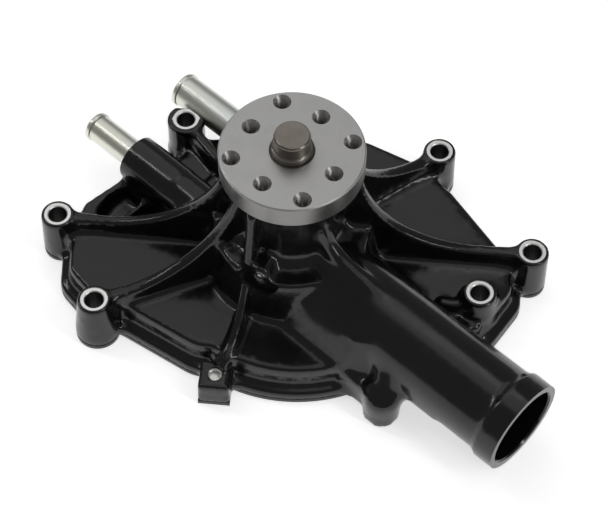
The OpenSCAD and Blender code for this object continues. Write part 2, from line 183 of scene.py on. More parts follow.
def black_paint():
    """Gloss black over the grain of a casting, with a fine orange peel."""
    m = material("black_paint", (0.009, 0.009, 0.0095), roughness=0.17)
    cast = noise(m, 260, 4, 0.6)
    peel = noise(m, 1100, 2, 0.4)
    cloud = noise(m, 42, 3, 0.5)
    bump(m, [(cloud, 0.07, 0.002), (cast, 0.11, 0.0004), (peel, 0.10, 0.0001)])
    vary_roughness(m, cast, 0.13, 0.22)
    mix_colour(m, cloud, (0.0042, 0.0042, 0.0046), (0.0075, 0.007, 0.0066))
    return m


def turned(name, base, rough, lines=9000, strength=0.25, dark=None):
    """Lathe-turned metal with rings round the object's Z axis."""
    m = material(name, base, 1.0, rough)
    co = add(m, "ShaderNodeTexCoord")
    sep = add(m, "ShaderNodeSeparateXYZ")
    link(m, co, "Object", sep, "Vector")
    flat = add(m, "ShaderNodeCombineXYZ")
    link(m, sep, "X", flat, "X")
    link(m, sep, "Y", flat, "Y")
    length = add(m, "ShaderNodeVectorMath", operation="LENGTH")
    link(m, flat, "Vector", length, 0)
    both = add(m, "ShaderNodeMath", operation="ADD")
    link(m, length, "Value", both, 0)
    link(m, sep, "Z", both, 1)
    rings = add(m, "ShaderNodeTexNoise", noise_dimensions="1D", Scale=lines, Detail=4.0, Roughness=0.7)
    link(m, both, "Value", rings, "W")
    patch = noise(m, 90, 4, 0.6)
    bump(m, [(rings, strength, 0.00002), (patch, 0.04, 0.0003)])
    vary_roughness(m, patch, rough - 0.05, rough + 0.07)
    mix_colour(m, patch, dark or darker(base, 0.86), base, 0.68)
    return m


def metal(name, base, rough, stain=0.85, scale=160, strength=0.05):
    m = material(name, base, 1.0, rough)
    n = noise(m, scale, 4, 0.6)
    fine = noise(m, scale * 9, 2, 0.5)
    bump(m, [(n, strength, 0.0003), (fine, strength, 0.00005)])
    vary_roughness(m, n, max(rough - 0.07, 0.03), rough + 0.08)
    mix_colour(m, n, darker(base, stain), base)
    return m


def dull(name, base, rough, scale=500, strength=0.2, distance=0.0001, second=None):
    """Paper, rubber, ceramic and other surfaces that are not bare metal."""
    m = material(name, base, 0.0, rough)
    n = noise(m, scale, 4, 0.6)
    bump(m, [(n, strength, distance)])
    vary_roughness(m, n, rough - 0.06, rough + 0.06)
    mix_colour(m, n, second or darker(base, 0.75), base)
    return m


def plated():
    """Zinc plate with a pale yellow and green passivation tint."""
    m = material("zinc_plate", (0.74, 0.74, 0.69), 1.0, 0.36)
    n = noise(m, 55, 3, 0.5, (0.35, 1, 1))
    fine = noise(m, 2600, 2, 0.5, (0.05, 1, 1))
    bump(m, [(fine, 0.06, 0.00004)])
    vary_roughness(m, n, 0.31, 0.42)
    mix_colour(m, n, (0.78, 0.77, 0.67), (0.72, 0.75, 0.73), 0.66)
    return m


PAINT = black_paint()
BARE = metal("bare_aluminium", (0.95, 0.945, 0.93), 0.42, 0.96, 700, 0.03)
# Near-black matte for the walls of the bolt holes: painted shade for the dark inside of the holes.
HOLE_PAINTED_SHADE = dull("drilled_hole_painted_shade", (0.012, 0.012, 0.012), 0.5, 900, 0.2)
HUB = turned("turned_steel", (0.5, 0.495, 0.49), 0.38, 8000, 0.10)
# The hub rim's side: the hub's turned steel at about half its brightness, painted shade standing for the
# darker surroundings it reflects.
RIM_PAINTED_SHADE = turned("turned_rim_painted_shade", (0.27, 0.265, 0.26), 0.32, 8000, 0.2)
THREAD = metal("cut_thread", (0.46, 0.44, 0.42), 0.36, 0.7, 900, 0.1)
SHAFT = turned("shaft_steel", (0.26, 0.235, 0.21), 0.30, 12000, 0.3, (0.19, 0.17, 0.15))
ZINC = plated()
PLUG = turned("plug_aluminium", (0.9, 0.89, 0.86), 0.22, 9000, 0.15)
SCREW = metal("zinc_screw", (0.8, 0.79, 0.76), 0.28)
GASKET = dull("gasket_sheet", (0.016, 0.017, 0.019), 0.6, 1500, 0.3)
RUBBER = dull("rubber", (0.016, 0.016, 0.016), 0.55, 900, 0.25)
BEARING = turned("bearing_steel", (0.6, 0.6, 0.6), 0.22, 14000, 0.15)
BALL = material("ball_steel", (0.72, 0.72, 0.74), 1.0, 0.06)
CAGE = metal("cage_brass", (0.62, 0.43, 0.17), 0.34)
CUP = metal("drawn_brass", (0.75, 0.55, 0.24), 0.24)
SPRING = metal("spring_wire", (0.62, 0.62, 0.63), 0.2, 0.85, 400)
CARBON = dull("carbon_ring", (0.03, 0.03, 0.032), 0.34, 1200, 0.1)
CERAMIC = dull("white_ceramic", (0.82, 0.8, 0.75), 0.18, 600, 0.04, second=(0.78, 0.76, 0.7))
IRON = dull("cast_iron", (0.075, 0.068, 0.062), 0.5, 420, 0.7, 0.0003, (0.05, 0.043, 0.038))
shader(IRON).inputs["Metallic"].default_value = 0.8


# ---------------------------------------------------------------- mesh helpers

def mesh_of(name, points, faces):
    """A mesh in metres from points in millimetres, with its normals turned out."""
    me = bpy.data.meshes.new(name)
    me.from_pydata([tuple(c * MM for c in p) for p in points], [], faces)
    outward(me)
    return me


def outward(me):
    bm = bmesh.new()
    bm.from_mesh(me)
    bmesh.ops.recalc_face_normals(bm, faces=bm.faces)
    bm.to_mesh(me)
    bm.free()


def finish_mesh(name, me, mats, angle):
    """An object shaded smooth, apart from edges sharper than angle in degrees."""
    obj = bpy.data.objects.new(name, me)
    bpy.context.scene.collection.objects.link(obj)
    for m in mats:
        me.materials.append(m)
    me.shade_smooth()
    me.set_sharp_from_angle(angle=math.radians(angle))
    return obj


def lathe(profile, steps=96, closed=True):
    """Points and faces of a profile of (radius, height) turned about Z, in the profile's units."""
    verts, faces, rings = [], [], []
    for r, z in profile:
        if r < 1e-9:
            rings.append([len(verts)] * steps)
            verts.append((0, 0, z))
        else:
            rings.append([len(verts) + k for k in range(steps)])
            verts += [(r * math.cos(2 * math.pi * k / steps), r * math.sin(2 * math.pi * k / steps), z)
                      for k in range(steps)]
    pairs = list(zip(rings, rings[1:]))
    if closed:
        pairs.append((rings[-1], rings[0]))
    for a, b in pairs:
        for k in range(steps):
            n = (k + 1) % steps
            face = []
            for v in (a[k], a[n], b[n], b[k]):
                if v not in face:
                    face.append(v)
            if len(face) > 2:
                faces.append(face)
    return verts, faces


def upright(profile, steps, x, y):
    """A lathe about Z stood at x, y."""
    verts, faces = lathe(profile, steps)
    return [(a + x, b + y, c) for a, b, c in verts], faces


def along_x(profile, steps, x, y, z, closed=True):
    """A lathe laid along +X with its origin at x, y, z."""
    verts, faces = lathe(profile, steps, closed)
    return [(x + v[2], y + v[1], z - v[0]) for v in verts], faces


def turned_round(shape, turn):
    """Points and faces turned about Z."""
    verts, faces = shape
    ca, sa = math.cos(turn), math.sin(turn)
    return [(a * ca - b * sa, a * sa + b * ca, c) for a, b, c in verts], faces


def cut(me, cutters):
    """me with every cutter taken away. Cutters are (points, faces)."""
    obj = bpy.data.objects.new("work", me)
    bpy.context.scene.collection.objects.link(obj)
    tools = bpy.data.collections.new("cutters")
    for verts, faces in cutters:
        tools.objects.link(bpy.data.objects.new("cutter", mesh_of("cutter", verts, faces)))
    mod = obj.modifiers.new("cut", "BOOLEAN")
    mod.operation = "DIFFERENCE"
    mod.operand_type = "COLLECTION"
    mod.collection = tools
    mod.solver = "MANIFOLD"
    deps = bpy.context.evaluated_depsgraph_get()
    out = bpy.data.meshes.new_from_object(obj.evaluated_get(deps))
    # the Boolean leaves an empty first slot, which would shift every material
    out.materials.clear()
    for o in list(tools.objects):
        bpy.data.objects.remove(o)
    bpy.data.collections.remove(tools)
    bpy.data.objects.remove(obj)
    return out


def face_centres(me):
    centre = np.empty(len(me.polygons) * 3)
    me.polygons.foreach_get("center", centre)
    return centre.reshape(-1, 3) / MM


def place(obj, node, body):
    """Puts a finished piece in its CAD node's stead."""
    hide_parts(node)
    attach(obj, body)


# ------------------------------------------------------------- distance fields

VOXEL = 0.8
BAND = 1.5      # voxels that a level set reaches past the distance asked of it
MARGIN = 6      # room round a shape in which its distance is worked out
LOW = np.array([-140.0, -118.0, -7.2])
HIGH = np.array([170.0, 122.0, 98.0])
SHIFT = np.floor(LOW / VOXEL).astype(int)
SHAPE = tuple(np.ceil((HIGH - LOW) / VOXEL).astype(int))
AXES = [(SHIFT[a] + np.arange(SHAPE[a])) * VOXEL for a in range(3)]
X, Y, Z = 0, 1, 2


def level(points, tris, quads, reach):
    """Level set of a closed mesh, valid up to reach."""
    more = {"quads": quads} if len(quads) else {}
    if len(tris):
        more["triangles"] = tris
    return vdb.FloatGrid.createLevelSetFromPolygons(
        points, transform=vdb.createLinearTransform(voxelSize=VOXEL), halfWidth=reach / VOXEL + BAND, **more)


def dense(grid):
    out = np.empty(SHAPE, np.float32)
    grid.copyToArray(out, ijk=tuple(int(v) for v in SHIFT))
    return out


def sparse(values, reach):
    limit = reach + BAND * VOXEL
    g = vdb.FloatGrid(limit)
    g.copyFromArray(np.clip(values, -limit, limit), ijk=tuple(int(v) for v in SHIFT), tolerance=0.0)
    g.transform = vdb.createLinearTransform(voxelSize=VOXEL)
    g.gridClass = vdb.GridClass.LEVEL_SET
    return g


def surface(grid, at):
    points, quads = grid.convertToQuads(isovalue=at)
    return points, np.zeros((0, 3), np.int32), quads


def layer(z):
    """Index of the voxel layer at a height."""
    return int(round(z / VOXEL)) - int(SHIFT[Z])


def window(low, high):
    """Slices of the voxels between two corners, and their coordinates."""
    cut_to = []
    for a in range(3):
        i = np.searchsorted(AXES[a], low[a]), np.searchsorted(AXES[a], high[a])
        cut_to.append(slice(int(i[0]), int(i[1])))
    grid = np.meshgrid(*[AXES[a][cut_to[a]] for a in range(3)], indexing="ij", sparse=True)
    return tuple(cut_to), grid


def smooth_min(a, b, k):
    h = np.clip(0.5 + 0.5 * (b - a) / k, 0, 1)
    return b * (1 - h) + a * h - k * h * (1 - h)


def smooth_max(a, b, k):
    return -smooth_min(-a, -b, k)


def rounded_meet(u, v, edge):
    """Distance to where two half spaces meet, with the corner rounded by edge."""
    return np.hypot(np.maximum(u, 0), np.maximum(v, 0)) + np.minimum(np.maximum(u, v), 0) - edge


def capsule(field, p, q, rp, rq, k=2.0):
    """Adds a tapered rod from p to q, melted in over k."""
    p, q = np.array(p, float), np.array(q, float)
    r = max(rp, rq) + k + MARGIN
    w, (x, y, z) = window(np.minimum(p, q) - r, np.maximum(p, q) + r)
    d = q - p
    t = np.clip(((x - p[0]) * d[0] + (y - p[1]) * d[1] + (z - p[2]) * d[2]) / (d @ d), 0, 1)
    dist = np.sqrt((x - p[0] - t * d[0]) ** 2 + (y - p[1] - t * d[1]) ** 2 + (z - p[2] - t * d[2]) ** 2)
    field[w] = smooth_min(field[w], dist - (rp + t * (rq - rp)), k)


def block(field, centre, half, turn, edge, k=1.0):
    """Adds a box turned about Z with rounded edges."""
    c, h = np.array(centre, float), np.array(half, float)
    r = np.linalg.norm(h) + k + MARGIN
    w, (x, y, z) = window(c - r, c + r)
    ca, sa = math.cos(turn), math.sin(turn)
    u = np.abs((x - c[0]) * ca + (y - c[1]) * sa) - (h[0] - edge)
    v = np.abs(-(x - c[0]) * sa + (y - c[1]) * ca) - (h[1] - edge)
    s = np.abs(z - c[2]) - (h[2] - edge)
    out = np.sqrt(np.maximum(u, 0) ** 2 + np.maximum(v, 0) ** 2 + np.maximum(s, 0) ** 2)
    dist = out + np.minimum(np.maximum(np.maximum(u, v), s), 0) - edge
    field[w] = smooth_min(field[w], dist, k)


def drum(field, axis, centre, r, start, end, edge, k=0.6):
    """Adds a cylinder along an axis, with its rim rounded by edge."""
    low, high = np.array(centre, float), np.array(centre, float)
    low[axis], high[axis] = start, end
    w, grid = window(low - (r + MARGIN), high + (r + MARGIN))
    a, b = [i for i in range(3) if i != axis]
    radial = np.sqrt((grid[a] - centre[a]) ** 2 + (grid[b] - centre[b]) ** 2) - (r - edge)
    middle, half = (start + end) / 2, (end - start) / 2
    length = np.abs(grid[axis] - middle) - (half - edge)
    out = np.sqrt(np.maximum(radial, 0) ** 2 + np.maximum(length, 0) ** 2)
    dist = out + np.minimum(np.maximum(radial, length), 0) - edge
    field[w] = smooth_min(field[w], dist, k)


def smoothed(field, rounds):
    """The field averaged with its neighbours, which takes the voxel steps off sloping edges."""
    for _ in range(rounds):
        for a in range(3):
            f = np.moveaxis(field, a, 0)
            mean = f.copy()
            mean[1:-1] = 0.25 * f[:-2] + 0.5 * f[1:-1] + 0.25 * f[2:]
            field = np.ascontiguousarray(np.moveaxis(mean, 0, a))
    return field


def near(x, y, inner, outer):
    """1 within inner of an upright line, falling to 0 at outer."""
    grid = np.meshgrid(*AXES, indexing="ij", sparse=True)
    d = np.sqrt((grid[X] - x) ** 2 + (grid[Y] - y) ** 2)
    return np.clip((outer - d) / (outer - inner), 0, 1).astype(np.float32)


def grow(mask):
    """A flat mask grown by one voxel."""
    out = mask.copy()
    out[1:] |= mask[:-1]
    out[:-1] |= mask[1:]
    out[:, 1:] |= mask[:, :-1]
    out[:, :-1] |= mask[:, 1:]
    return out


# --------------------------------------------------------------- cast housing

FILLET, CROWN, CRISP = 2.8, 1.9, 0.8    # rounding of inner corners, soft edges and machined edges
PLAIN_EDGE = 0.1                        # edge of shapes that only stand for hollows
FAR = 20.0                              # a distance well clear of everything


def casting_solid():
    """Points and triangles of the CAD housing, with doubled points joined."""
    me = nodes["housing"].data
    world = nodes["housing"].matrix_world
    points = np.empty(len(me.vertices) * 3, np.float32)
    me.vertices.foreach_get("co", points)
    points = points.reshape(-1, 3)
    points = (points @ np.array(world.to_3x3(), np.float32).T + np.array(world.translation, np.float32)) / MM
    me.calc_loop_triangles()
    tris = np.empty(len(me.loop_triangles) * 3, np.int32)
    me.loop_triangles.foreach_get("vertices", tris)
    points, tris = points.astype(np.float32), tris.reshape(-1, 3)
    points, back = np.unique(np.round(points, 4), axis=0, return_inverse=True)
    return points.astype(np.float32), back.reshape(-1)[tris].astype(np.int32)


def carry_outline_down(f):
    """Carries the outline above the flange's underside straight down, so that only tops are rounded.

    Below the neck, which stands clear of the mounting face, the casting stays as it is.
    """
    k = layer(5.6)
    neck = (slice(int(np.searchsorted(AXES[X], 97)), None), np.abs(AXES[Y] - NECK_Y) < 23)
    below_neck = f[neck][:, :, :k].copy()
    f[:, :, :k] = f[:, :, k:k + 1]
    low = f[:, :, :k]
    low[neck] = below_neck


def water_spaces(f):
    """Distance to lumps under the decks, found as the enclosed air of one layer."""
    flat = f[:, :, layer(6.4)]
    air = flat > 0
    outside = np.zeros(air.shape, bool)
    outside[0] = outside[-1] = True
    outside[:, 0] = outside[:, -1] = True
    while True:
        more = grow(outside) & air | outside
        if (more == outside).all():
            break
        outside = more
    holes = grow(grow(grow(air & ~outside)))
    into_wall, ceiling = 1.6, 19.6
    lump = np.where(holes, -(flat + into_wall), FAR).astype(np.float32)
    return np.maximum(lump[:, :, None], AXES[Z][None, None, :] - ceiling).astype(np.float32)


def filled(f):
    """Distance to lumps that fill the hollows of the casting, reaching a little into its walls."""
    fill = water_spaces(f)
    hollows = [
        (Z, (0, 0, 0), 41.8, 8, 47),                            # impeller chamber
        (Z, (0, 0, 0), 22.5, 30, 92),                           # snout
        (X, (0, NECK_Y, PORT_Z), 23.4, 30, 161.5),              # neck
        (X, (0, BYPASS.y, BYPASS.z), 10.2, BYPASS.x + 2, -20),
        (X, (0, HEATER.y, HEATER.z), 11.4, HEATER.x + 2, -4),
    ]
    hollows += [(Z, (*row(x, y), 0), 6.6, -7, POST_TOP - 2.5) for x, y in POSTS]
    hollows += [(Z, (*row(*SCREW_BOSS), 0), 4.2, -7, 14.5)]
    for axis, centre, r, start, end in hollows:
        drum(fill, axis, centre, r, start, end, PLAIN_EDGE, PLAIN_EDGE)
    for t in range(20, 38, 2):
        p = (t * math.cos(PLUG_TURN), t * math.sin(PLUG_TURN), PLUG_Z)
        capsule(fill, p, (p[0] + 1, p[1] + 1, p[2]), 3.6, 3.6, PLAIN_EDGE)
    return fill


def add_details(f):
    # broad swelling of the neck's ridge, as points of its crest
    crest = [(24, 74), (27, 65.5), (31, 60), (37, 57), (46, 54.6), (56, 52.6), (68, 50.6)]
    sunk = 1.5
    for p, q in zip(crest, crest[1:]):
        capsule(f, (p[0], NECK_Y, p[1] - sunk), (q[0], NECK_Y, q[1] - sunk), 3.4, 3.2, 3.5)
    # boss with its foot and a thin rod in the recess beside the ridge
    capsule(f, (23.5, 26.5, 46), (22.5, 25.5, 62), 3.6, 3.2, 1.5)
    capsule(f, (24.5, 23.0, 50), (24.5, 23.0, 52.5), 3.2, 2.6, 1.0)
    capsule(f, (19.5, 20.5, 52), (20.0, 19.0, 66), 1.5, 1.4, 1.0)
    # wedge between the neck and the right front post
    block(f, (*row(88.5, -26.5), 20), (7.0, 2.6, 6.4), TURN - 0.12, 1.2, 0.6)
    # step at the root of each ridge end on the posts
    for n in (0, 1, 3, 4, 5):
        x, y = POSTS[n]
        aim = (0, 0) if n == 5 else (0, 5)
        d = math.hypot(x - aim[0], y - aim[1])
        ux, uy = (aim[0] - x) / d, (aim[1] - y) / d
        start, end = row(x + ux * 6, y + uy * 6), row(x + ux * 17, y + uy * 17)
        capsule(f, (*start, 24.4), (*end, 26.2), 5.8, 3.2, 2.0)


def shape_right_post(f):
    """Frees the camera side of the right front post from the deck. Returns where, and the space's distance."""
    px, py = row(*POSTS[RIGHT_FRONT])
    w, (x, y, z) = window((px - 22, py - 26, 4), (px + 22, py + 18, 40))
    dx, dy = x - px, y - py
    r = np.hypot(dx, dy)
    outer, deck = 16.5, 9.5
    camera_side = dy * 0.9 - dx * 0.44 - 1
    space = np.maximum(np.maximum(r - outer, 9 - r), np.maximum(deck - z, camera_side))
    f[w] = np.maximum(f[w], -space)
    return w, space


def shape_left_back_post(f):
    """Lowers the deck between the left back post and the bypass boss. Returns as shape_right_post does."""
    px, py = row(*POSTS[LEFT_BACK])
    w, (x, y, z) = window((px - 16, BYPASS.y + 6, 4), (px + 40, py + 10, 40))
    dx, dy = x - px, y - py
    r = np.hypot(dx, dy)
    along = (dx * px + dy * py) / math.hypot(px, py)
    across = np.abs(dx * py - dy * px) / math.hypot(px, py)
    post, deck, half_ridge = 10.6, 12, 3.6
    ridge = np.where(along < 0, across - half_ridge, 4.0)
    boss = np.hypot(y - BYPASS.y, z - BYPASS.z) - BYPASS.r
    space = np.maximum(np.maximum(post - r, -ridge), np.maximum(deck - z, -boss))
    space = np.maximum(space, np.maximum(dx - 34, dy - 2 + 0.2 * dx))
    f[w] = np.maximum(f[w], -space)
    return w, space


def taper_posts(f):
    """Draft on the bolt posts, from the flange's width at the foot to the post's own at the top."""
    wider_at_foot = (1, 3, 2.5, 0.8, 0.8, 1.5)
    height = 24
    for (x0, y0), step in zip(POSTS, wider_at_foot):
        px, py = row(x0, y0)
        w, (x, y, z) = window((px - 18, py - 18, -8), (px + 18, py + 18, 36))
        r = np.hypot(x - px, y - py) - (POST_R + step * np.clip((POST_TOP - z) / height, 0, 1))
        f[w] = np.minimum(f[w], np.maximum(r, z - POST_TOP + 0.3))


def trim_foot(f):
    """Leaves only the neck and the round foot outside the neck's front side."""
    fx, fy = row(*FOOT)
    w, (x, y, z) = window((96, -42, -8), (126, -15, 24))
    neck = np.hypot(y - NECK_Y, z - PORT_Z) - 25.0
    foot = np.maximum(np.hypot(x - fx, y - fy) - FOOT_R, z - 20)
    f[w] = np.broadcast_to(np.minimum(neck, foot), f[w].shape)
    capsule(f, (fx, fy, 14), (fx - 2, fy + 7, 25), 9.0, 8.0, 3.0)
    capsule(f, (fx + 3, fy + 6.5, 11), (fx + 3, fy + 8.5, 20), 4.5, 4.5, 3.0)


def crisp_share():
    """1 where edges stay crisp: posts, screw boss, foot, flange, neck's end and snout's top. 0 where soft."""
    share = np.zeros(SHAPE, np.float32)
    for x, y in POSTS:
        share = np.maximum(share, near(*row(x, y), 9.5, 13))
    for x, y in (SCREW_BOSS, FOOT):
        share = np.maximum(share, near(*row(x, y), 10, 13))
    x, z = AXES[X][:, None, None], AXES[Z][None, None, :]
    share = np.maximum(share, np.clip((10.5 - z) / 2.5, 0, 1))
    share = np.maximum(share, np.clip((x - 100) / 10, 0, 1))
    share = np.maximum(share, np.clip((z - 86) / 3, 0, 1))
    return share.astype(np.float32)


def rounded(f):
    """The field with its inner corners filleted and its edges rounded."""
    p, t, q = surface(sparse(f, 6.0), FILLET)
    p, t, q = surface(level(p, t, q, FILLET), -FILLET)
    closed = level(p, t, q, CROWN)
    opened = []
    for r in (CROWN, CRISP):
        p, t, q = surface(closed, -r)
        opened.append(dense(level(p, t, q, r + 2.0)) - r)
    soft, hard = opened
    share = crisp_share()
    return smoothed(soft * (1 - share) + hard * share, 2)


def cast_field():
    """The casting as a distance field without its hollows, and the hollows' own."""
    points, tris = casting_solid()
    field = dense(level(points, tris, np.zeros((0, 4), np.int32), 6.0))
    carry_outline_down(field)
    trim_foot(field)
    fill = filled(field)
    inside = np.minimum(-fill, field)
    roof = 3
    for shape in (shape_right_post, shape_left_back_post):
        w, space = shape(field)
        inside[w] = np.minimum(inside[w], space - roof)
    taper_posts(field)
    add_details(field)
    return rounded(np.minimum(field, fill)), inside


def restore_left_back_post(f):
    """The wide left back post, flat on its back."""
    px, py = row(*POSTS[LEFT_BACK])
    w, (x, y, z) = window((px - 14, py - 14, 4), (px + 14, py + 14, 36))
    edge = 1.0
    side = np.hypot(x - px, y - py) - (10.5 - edge)
    cap = z - (POST_TOP + 0.3 - edge)
    back = (y - py) * math.cos(TURN) - (x - px) * math.sin(TURN) - 7.8
    f[w] = np.minimum(f[w], smooth_max(rounded_meet(side, cap, edge), back, 1.0))


def restore_crisp_features(f):
    """Puts the posts, bosses, neck band, foot and pocket rib back after the rounding."""
    for x, y in POSTS[:LEFT_BACK]:
        drum(f, Z, (*row(x, y), 0), POST_R, 4, POST_TOP + 0.3, 1.0)
    restore_left_back_post(f)
    for socket, length in ((BYPASS, 34), (HEATER, 30)):
        drum(f, X, (0, socket.y, socket.z), socket.r, socket.x - 2, socket.x + length, 0.9, 1.2)
    drum(f, X, (0, NECK_Y, PORT_Z), 25.9, NECK_END - 12, NECK_END + 4, 0.9, 0.8)
    drum(f, Z, (*row(*FOOT), 0), FOOT_R, 0.02, 18, 1.0, 1.2)
    block(f, (*row(*SCREW_BOSS), 9.6), (8.4, 8.4, 7.4), TURN, 1.8, 0.8)
    lean, reach = math.radians(50), 12
    rib = row(-98.5 + reach * math.cos(lean), 9 + reach * math.sin(lean))
    block(f, (*rib, 14), (17, 1.3, 6), TURN + lean, 0.9, 1.6)


def stand_on_floor(f):
    """Cuts the casting off at the gasket's top, and at the mounting face under the foot."""
    gx, gy = np.meshgrid(AXES[X], AXES[Y], indexing="ij")
    fx, fy = row(*FOOT)
    floor_at = np.where(np.hypot(gx - fx, gy - fy) < FOOT_R + 0.3, 0.0, 2.8)[:, :, None]
    return np.maximum(f, floor_at - AXES[Z][None, None, :]).astype(np.float32)


def socket_cutters(socket, bore, inner):
    """The stepped bore of a tube's boss, with the boss's end faced off."""
    end = socket.x
    profile = [
        (0, end - 12), (socket.r + 5, end - 12), (socket.r + 5, end), (bore + 0.6, end), (bore, end + 0.7),
        (bore, end + 26), (inner, end + 26), (inner, end + 30), (0, end + 30)]
    return along_x(profile, 72, 0, socket.y, socket.z)


def housing_cutters():
    bolt_hole = [
        (0, -9), (5.1, -9), (5.1, POST_TOP - 0.5), (5.6, POST_TOP), (7.3, POST_TOP), (7.3, 44), (0, 44)]
    cutters = [upright(bolt_hole, 64, *row(x, y)) for x, y in POSTS]
    neck_bore = [
        (0, 45), (21.5, 45), (21.5, NECK_END - 1), (22.3, NECK_END), (40, NECK_END), (40, NECK_END + 12),
        (0, NECK_END + 12)]
    cutters.append(along_x(neck_bore, 120, 0, NECK_Y, PORT_Z))
    cutters.append(socket_cutters(BYPASS, 8.1, 6.45))
    cutters.append(socket_cutters(HEATER, 9.7, 8.0))
    # groove in which the heater tube lies clear of the deck and the left back post
    start, end = HEATER.x - 57, HEATER.x + 0.5
    groove = [(0, start), (10.0, start), (10.0, end), (0, end)]
    cutters.append(along_x(groove, 96, 0, HEATER.y, HEATER.z))
    screw_hole = [(0, -5), (2.55, -5), (2.55, 13), (3.1, 13), (3.1, 16.2), (3.7, 16.95), (3.7, 26), (0, 26)]
    cutters.append(upright(screw_hole, 48, *row(*SCREW_BOSS)))
    bearing_bore = [
        (0, 47), (15.5, 47), (15.5, 55), (19.06, 55), (19.06, 93.2), (19.7, 94), (45, 94), (45, 99), (0, 99)]
    cutters.append(upright(bearing_bore, 96, 0, 0))
    plug_hole = [(0, 31), (2.9, 31), (2.9, 39.2), (3.3, 39.5), (12, 39.5), (12, 46), (0, 46)]
    cutters.append(turned_round(along_x(plug_hole, 40, 0, 0, PLUG_Z), PLUG_TURN))
    return cutters


def show_bare_metal(me):
    """Gives the machined faces and the screw boss's hole bare metal, and the bolt holes their own near-black
    matte, which paints in the shade inside them.
    """
    bare, painted_shade_hole = 1, 2
    centre = face_centres(me)
    height = centre[:, 2]
    index = np.zeros(len(centre), np.int32)
    for x, y in POSTS:
        px, py = row(x, y)
        d = np.hypot(centre[:, 0] - px, centre[:, 1] - py)
        index[(d < 7.32) & (height > POST_TOP - 0.6)] = bare
        index[(d < 5.15) & (height <= POST_TOP - 0.5)] = painted_shade_hole
    sx, sy = row(*SCREW_BOSS)
    d = np.hypot(centre[:, 0] - sx, centre[:, 1] - sy)
    index[(d < 3.72) & (height > 5) & (height < 16.99)] = bare
    d = np.hypot(centre[:, 0], centre[:, 1])
    index[(d < 19.2) & (height > 54)] = bare
    me.polygons.foreach_set("material_index", index)


def build_housing():
    f, inside = cast_field()
    restore_crisp_features(f)
    f = stand_on_floor(np.maximum(f, inside))
    p, t, q = sparse(f, 2.5).convertToPolygons(isovalue=0.0, adaptivity=0.035)
    me = bpy.data.meshes.new("housing_visual")
    me.from_pydata((p * MM).tolist(), [], [list(map(int, a)) for a in t] + [list(map(int, a)) for a in q])
    outward(me)
    me = cut(me, housing_cutters())
    show_bare_metal(me)
    place(finish_mesh("pump_housing", me, [PAINT, BARE, HOLE_PAINTED_SHADE], 38), "housing", "pump_body")


# -------------------------------------------------------- turned and tube parts

def thread_cutter(x, y, z0, z1, r, depth=0.55, pitch=1.06, steps=40):
    """A closed cutter whose wall is a thread."""
    rows_per_turn = 6
    rows = int((z1 - z0) / pitch * rows_per_turn)
    verts, faces = [], []
    for i in range(rows + 1):
        z = z0 + (z1 - z0) * i / rows
        for k in range(steps):
            a = 2 * math.pi * k / steps
            t = (z / pitch - k / steps) % 1.0
            wave = 1 - abs(2 * t - 1)
            rr = r + depth * wave
            verts.append((x + rr * math.cos(a), y + rr * math.sin(a), z))
    for i in range(rows):
        for k in range(steps):
            n = (k + 1) % steps
            faces.append([i * steps + k, i * steps + n, (i + 1) * steps + n, (i + 1) * steps + k])
    faces.append([k for k in range(steps)][::-1])
    faces.append([rows * steps + k for k in range(steps)])
    return verts, faces


def build_hub():
    top, back = HUB_FACE / MM, (HUB_FACE - HUB_THICKNESS) / MM
    disc = [
        (10.82, back - 3), (16.4, back - 3), (17, back - 2.4), (17, back - 0.6), (17.6, back),
        (36.7, back), (37.3, back + 0.25), (37.7, back + 0.9), (37.7, top - 0.85), (37.45, top - 0.3),
        (36.95, top), (11.9, top), (11.5, top - 0.15), (11.2, top - 0.75), (10.82, top - 0.9)]
    front_chamfer = [(0, top - 1.6), (3.3, top - 1.6), (4.75, top + 0.02), (4.75, top + 2), (0, top + 2)]
    back_chamfer = [(0, back - 2), (4.6, back - 2), (4.6, back - 0.02), (3.4, back + 1.0), (0, back + 1.0)]
    # two bolt circles of four holes, by radius and first angle in degrees
    holes = []
    for circle, first in ((31.3, 52.3), (25.75, 7.6)):
        for k in range(4):
            a = math.radians(first + 90 * k)
            holes.append((circle * math.cos(a), circle * math.sin(a)))
    cutters = []
    for x, y in holes:
        cutters.append(thread_cutter(x, y, back - 2, top - 0.9, 3.2))
        cutters.append(upright(front_chamfer, 48, x, y))
        cutters.append(upright(back_chamfer, 48, x, y))
    me = cut(mesh_of("hub_visual", *lathe(disc, 192)), cutters)

    thread, rim = 1, 2
    centre = face_centres(me)
    height = centre[:, 2]
    index = np.zeros(len(centre), np.int32)
    for x, y in holes:
        d = np.hypot(centre[:, 0] - x, centre[:, 1] - y)
        index[(d < 4.0) & (height < top - 0.3)] = thread
    d = np.hypot(centre[:, 0], centre[:, 1])
    # the rim's side takes the darker copy of the turned steel, which is painted shade
    index[(d > 37.35) & (height < top - 0.2)] = rim
    me.polygons.foreach_set("material_index", index)
    place(finish_mesh("fan_hub", me, [HUB, THREAD, RIM_PAINTED_SHADE], 14), "hub_flange", "rotor")


def build_shaft():
    face = HUB_FACE / MM
    bottom, top = (corner.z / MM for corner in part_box("bearing_shaft"))
    # the ball row's groove is an arc cut into the bearing's journal
    journal, centre_r, centre_z, groove_r = 10.2, 12.7, 84, 3.2
    arc = [(centre_r - groove_r * math.cos(math.radians(a)), centre_z + groove_r * math.sin(math.radians(a)))
           for a in range(-38, 39, 8)]
    profile = [(0, bottom), (7.0, bottom), (8, bottom + 1), (8, 54), (journal, 54)]
    profile += [(r, z) for r, z in arc if r < journal]
    profile += [
        (journal, 93), (10.8, 93), (10.8, face + 3.3), (10.6, face + 3.7), (10.0, face + 4.1),
        (9.65, face + 4.5), (9.525, face + 5.1), (9.525, top - 1.25), (9.35, top - 0.75),
        (8.75, top - 0.12), (8.45, top), (0, top)]
    me = mesh_of("pump_shaft", *lathe(profile, 128, False))
    place(finish_mesh("pump_shaft", me, [SHAFT], 14), "bearing_shaft", "rotor")


